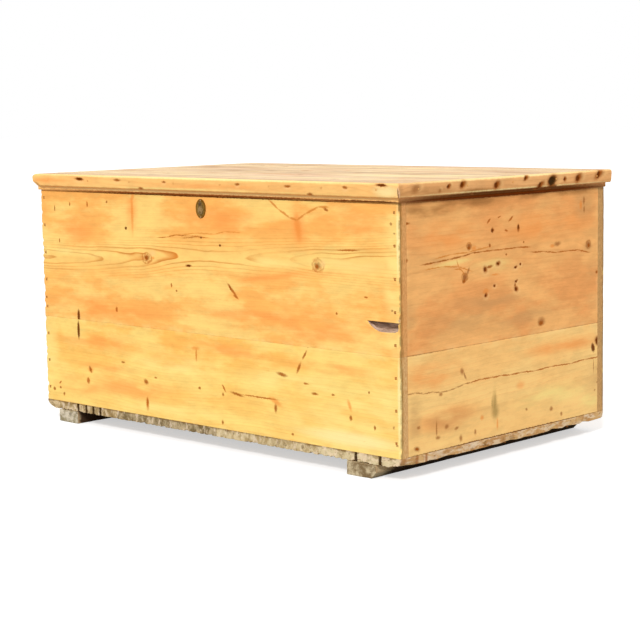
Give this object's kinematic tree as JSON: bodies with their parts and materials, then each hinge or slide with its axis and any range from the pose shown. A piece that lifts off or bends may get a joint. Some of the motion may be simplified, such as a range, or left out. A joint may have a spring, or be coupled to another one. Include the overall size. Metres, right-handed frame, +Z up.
{
  "type": "blanket chest",
  "caption": "Old pine blanket chest: nailed board box on two runners, hinged board lid with mitred moulding, box lock behind an oval brass escutcheon.",
  "frame": {"origin": "on the floor under the middle of the whole outline", "axes": "+X to the right seen from the front, +Y from the front to the back, +Z up"},
  "size_m": [1.126, 0.699, 0.5763],
  "materials": {
    "pine": "waxed, worn, knotty old pine",
    "weathered_pine": "raw, weathered and dirty pine",
    "old_iron": "dark, lightly rusted wrought iron",
    "lock_steel": "dull filed steel",
    "aged_brass": "brown, tarnished brass"
  },
  "bodies": {
    "carcass": {"back_hinge_screws": "old_iron", "back_lower_board": "pine", "back_nails": "old_iron", "back_upper_board": "pine", "bolt_guide": "old_iron", "bottom_back_nails": "old_iron", "bottom_board_1": "weathered_pine", "bottom_board_2": "weathered_pine", "bottom_board_3": "weathered_pine", "bottom_board_4": "weathered_pine", "bottom_end_nails": "old_iron", "bottom_front_nails": "old_iron", "cover_pivot": "aged_brass", "escutcheon_pins": "aged_brass", "escutcheon_plate": "aged_brass", "front_lower_board": "pine", "front_nails": "old_iron", "front_upper_board": "pine", "key_ward": "old_iron", "left_end_lower_board": "pine", "left_end_upper_board": "pine", "left_hinge_back_leaf": "old_iron", "left_hinge_pin": "old_iron", "left_runner": "weathered_pine", "left_runner_nails": "old_iron", "lock_case": "old_iron", "lock_pillars": "old_iron", "lock_plate": "old_iron", "lock_screws": "old_iron", "lock_stud": "old_iron", "right_end_lower_board": "pine", "right_end_upper_board": "pine", "right_hinge_back_leaf": "old_iron", "right_hinge_pin": "old_iron", "right_runner": "weathered_pine", "right_runner_nails": "old_iron"},
    "lid": {"lid_front_board": "pine", "lid_middle_board": "pine", "lid_back_board": "pine", "lid_front_moulding": "pine", "lid_left_moulding": "pine", "lid_right_moulding": "pine", "front_moulding_brads": "old_iron", "end_moulding_brads": "old_iron", "lid_left_batten": "pine", "lid_right_batten": "pine", "batten_screws": "old_iron", "left_hinge_lid_leaf": "old_iron", "right_hinge_lid_leaf": "old_iron", "lid_hinge_screws": "old_iron", "link_plate": "old_iron", "link_plate_screws": "old_iron"},
    "lock_bolt": {"lock_bolt": "lock_steel", "bolt_spring": "lock_steel"},
    "keyhole_cover": {"keyhole_cover": "aged_brass"}
  },
  "joints": [
    {"name": "lid_hinge", "type": "hinge", "parent": "carcass", "child": "lid", "pos_m": [0, 0.3417, 0.55115], "axis": [-1, 0, 0], "range_deg": [0, 104]},
    {"name": "bolt_slide", "type": "slide", "parent": "carcass", "child": "lock_bolt", "axis": [1, 0, 0], "range_m": [0, 0.009]},
    {"name": "cover_swing", "type": "hinge", "parent": "carcass", "child": "keyhole_cover", "pos_m": [0, -0.3389, 0.523], "axis": [0, 1, 0], "range_deg": [-115, 115]}
  ]
}
